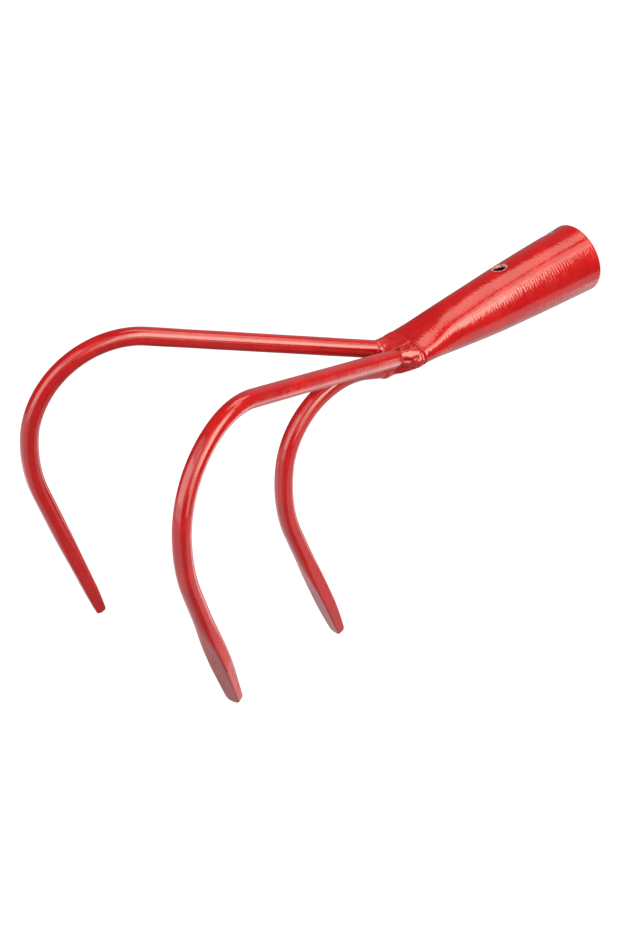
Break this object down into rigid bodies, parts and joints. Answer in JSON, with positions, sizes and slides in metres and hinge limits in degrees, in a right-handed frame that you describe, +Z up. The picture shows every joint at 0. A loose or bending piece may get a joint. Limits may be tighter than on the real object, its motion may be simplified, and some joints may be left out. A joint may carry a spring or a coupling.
{
  "type": "garden cultivator head",
  "caption": "Cultivator head with bent, forged-tip tines fanned from a conical handle socket and joined to its squeezed end by welds.",
  "frame": {"origin": "on the floor that the head stands on with its tine tips, under the middle of its bounding box", "axes": "+Z up, +X toward the mouth of the handle socket, tines hook over toward -X, left tine on the -Y side"},
  "size_m": [0.3248, 0.1354, 0.2381],
  "materials": {
    "socket_enamel": "gloss",
    "tine_enamel": "gloss",
    "weld_enamel": "gloss"
  },
  "bodies": {
    "root": {"socket": "socket_enamel", "left_tine": "tine_enamel", "centre_tine": "tine_enamel", "right_tine": "tine_enamel", "left_weld": "weld_enamel", "centre_weld": "weld_enamel", "right_weld": "weld_enamel"}
  },
  "joints": []
}
